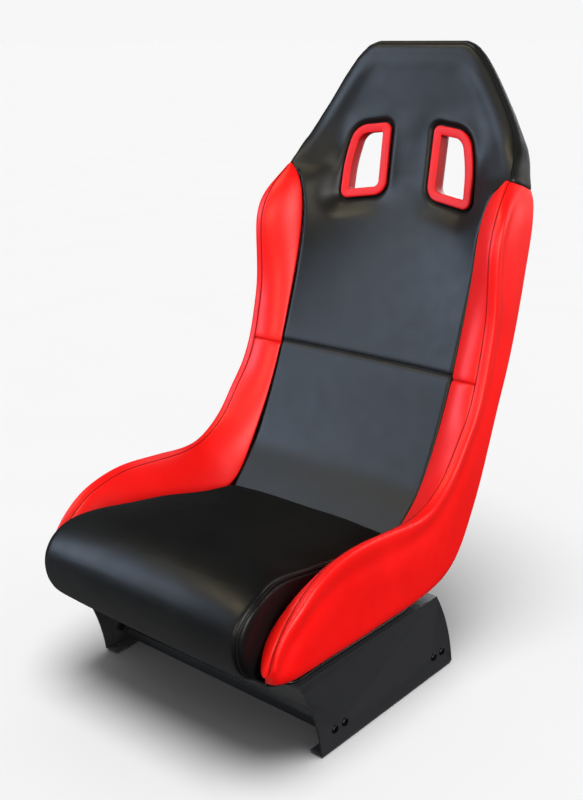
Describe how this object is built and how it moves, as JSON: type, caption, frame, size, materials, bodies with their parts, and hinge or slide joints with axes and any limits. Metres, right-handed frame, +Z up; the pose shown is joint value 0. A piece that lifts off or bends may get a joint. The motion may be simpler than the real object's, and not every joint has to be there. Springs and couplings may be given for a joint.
{
  "type": "racing seat",
  "caption": "Fixed-back racing bucket seat with padded side bolsters, harness slots and a lift-off cushion, on two steel side brackets joined by crossbars.",
  "frame": {"origin": "on the floor, midway between the four floor bolt holes", "axes": "+Z up, -Y the way the sitter faces, +X to the sitter's left"},
  "size_m": [0.524, 0.7514, 1.055],
  "materials": {
    "black_leather": "smooth satin",
    "red_leather": "smooth satin",
    "shell_gelcoat": "black gelcoat",
    "red_plastic": "satin moulded",
    "black_powder_coat": "satin powder coat",
    "black_screws": "black oxide",
    "zinc_steel": "zinc plated",
    "black_rubber": "matt",
    "birch_board": "plain plywood",
    "fastening_tape": "hook and loop"
  },
  "bodies": {
    "seat": {"seat_shell": "shell_gelcoat", "lower_back_pad": "black_leather", "upper_back_pad": "black_leather", "head_pad": "black_leather", "left_outer_side": "red_leather", "left_torso_bolster": "red_leather", "left_thigh_bolster": "red_leather", "right_outer_side": "red_leather", "right_torso_bolster": "red_leather", "right_thigh_bolster": "red_leather", "left_slot_bezel": "red_plastic", "left_slot_ring": "red_plastic", "right_slot_bezel": "red_plastic", "right_slot_ring": "red_plastic", "left_bracket": "black_powder_coat", "right_bracket": "black_powder_coat", "front_crossbar": "black_powder_coat", "rear_crossbar": "black_powder_coat", "left_crossbar_bolts": "black_screws", "left_crossbar_nuts": "zinc_steel", "right_crossbar_bolts": "black_screws", "right_crossbar_nuts": "zinc_steel", "seat_bolts": "black_screws", "seat_washers": "zinc_steel", "shell_inserts": "zinc_steel", "rubber_feet": "black_rubber", "hook_strips": "fastening_tape"},
    "cushion": {"seat_cushion": "black_leather", "cushion_board": "birch_board", "loop_strips": "fastening_tape"}
  },
  "joints": [
    {"name": "cushion_lift", "type": "slide", "parent": "seat", "child": "cushion", "axis": [0, 0, 1], "range_m": [0, 0.12]}
  ]
}
